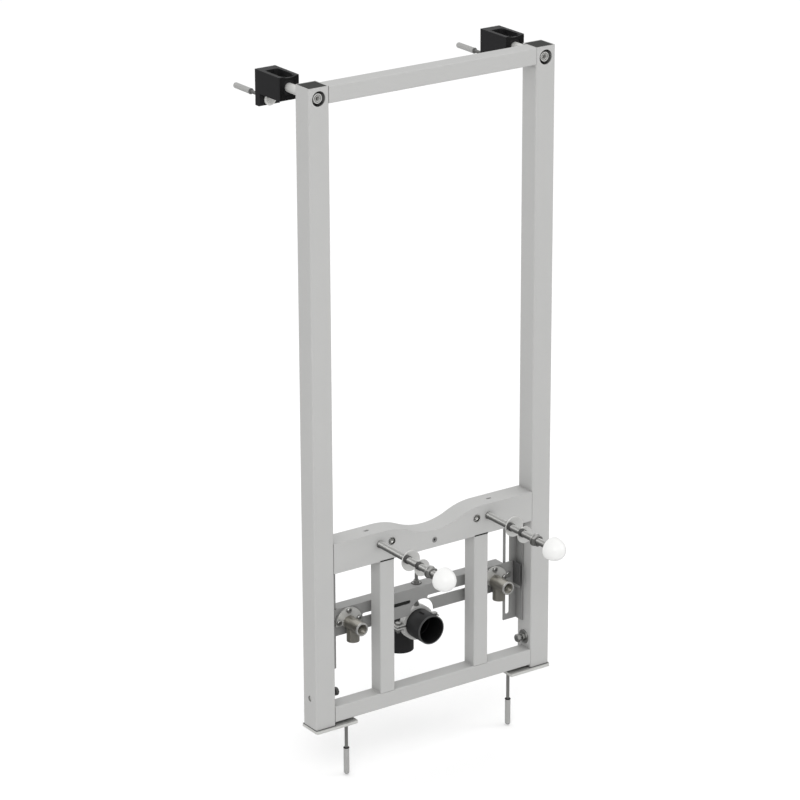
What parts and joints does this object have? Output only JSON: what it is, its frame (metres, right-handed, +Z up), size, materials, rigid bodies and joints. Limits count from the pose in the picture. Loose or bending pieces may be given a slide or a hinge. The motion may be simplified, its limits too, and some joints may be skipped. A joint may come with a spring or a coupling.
{
  "type": "bidet installation frame",
  "caption": "Steel wall frame that carries a wall-hung bidet, with telescopic feet, wall brackets, fixing rods, water elbows and a drain bend on a height-adjustable rail",
  "frame": {"origin": "middle of the left upright on the underside of its foot plate", "axes": "+X to the right seen from the front, +Y to the wall behind, +Z up; the front faces -Y"},
  "size_m": [0.502, 0.47, 1.254],
  "materials": {
    "frame_paint": "satin light grey powder coat",
    "galvanised_steel": "galvanised steel",
    "foot_steel": "zinc plated steel",
    "zinc_steel": "bright zinc plated steel",
    "nickel": "nickel plated brass",
    "black_plastic": "black moulded plastic",
    "white_plastic": "white moulded plastic",
    "grey_plastic": "grey nylon"
  },
  "bodies": {
    "feet": {"left_foot": "foot_steel", "left_floor_screw": "zinc_steel", "left_floor_plug": "grey_plastic", "right_foot": "foot_steel", "right_floor_screw": "zinc_steel", "right_floor_plug": "grey_plastic"},
    "frame": {"left_upright": "frame_paint", "left_upright_insert": "black_plastic", "left_post": "frame_paint", "left_side_angle": "galvanised_steel", "left_narrow_bush": "zinc_steel", "left_wide_bush": "zinc_steel", "left_fixing_rod": "zinc_steel", "left_inner_disc": "zinc_steel", "left_outer_disc": "zinc_steel", "left_fixing_nut": "zinc_steel", "left_rod_cap": "white_plastic", "right_upright": "frame_paint", "right_upright_insert": "black_plastic", "right_post": "frame_paint", "right_side_angle": "galvanised_steel", "right_narrow_bush": "zinc_steel", "right_wide_bush": "zinc_steel", "right_fixing_rod": "zinc_steel", "right_inner_disc": "zinc_steel", "right_outer_disc": "zinc_steel", "right_fixing_nut": "zinc_steel", "right_rod_cap": "white_plastic", "bottom_crossbar": "frame_paint", "top_crossbar": "frame_paint", "support_beam": "frame_paint"},
    "services": {"left_water_elbow": "nickel", "right_water_elbow": "nickel", "services_rail": "galvanised_steel", "drain_bend": "black_plastic", "drain_clamp": "zinc_steel", "drain_stud": "zinc_steel"},
    "left_wall_fixing": {"left_wall_bracket": "black_plastic", "left_wall_rod": "zinc_steel", "left_wall_screw": "zinc_steel", "left_wall_plug": "grey_plastic"},
    "right_wall_fixing": {"right_wall_bracket": "black_plastic", "right_wall_rod": "zinc_steel", "right_wall_screw": "zinc_steel", "right_wall_plug": "grey_plastic"}
  },
  "joints": [
    {"name": "frame_height", "type": "slide", "parent": "feet", "child": "frame", "axis": [0, 0, 1], "range_m": [0, 0.2]},
    {"name": "rail_height", "type": "slide", "parent": "frame", "child": "services", "axis": [0, 0, 1], "range_m": [-0.05, 0.08]},
    {"name": "left_wall_depth", "type": "slide", "parent": "frame", "child": "left_wall_fixing", "axis": [0, 1, 0], "range_m": [0, 0.025]},
    {"name": "right_wall_depth", "type": "slide", "parent": "frame", "child": "right_wall_fixing", "axis": [0, 1, 0], "range_m": [0, 0.025]}
  ]
}
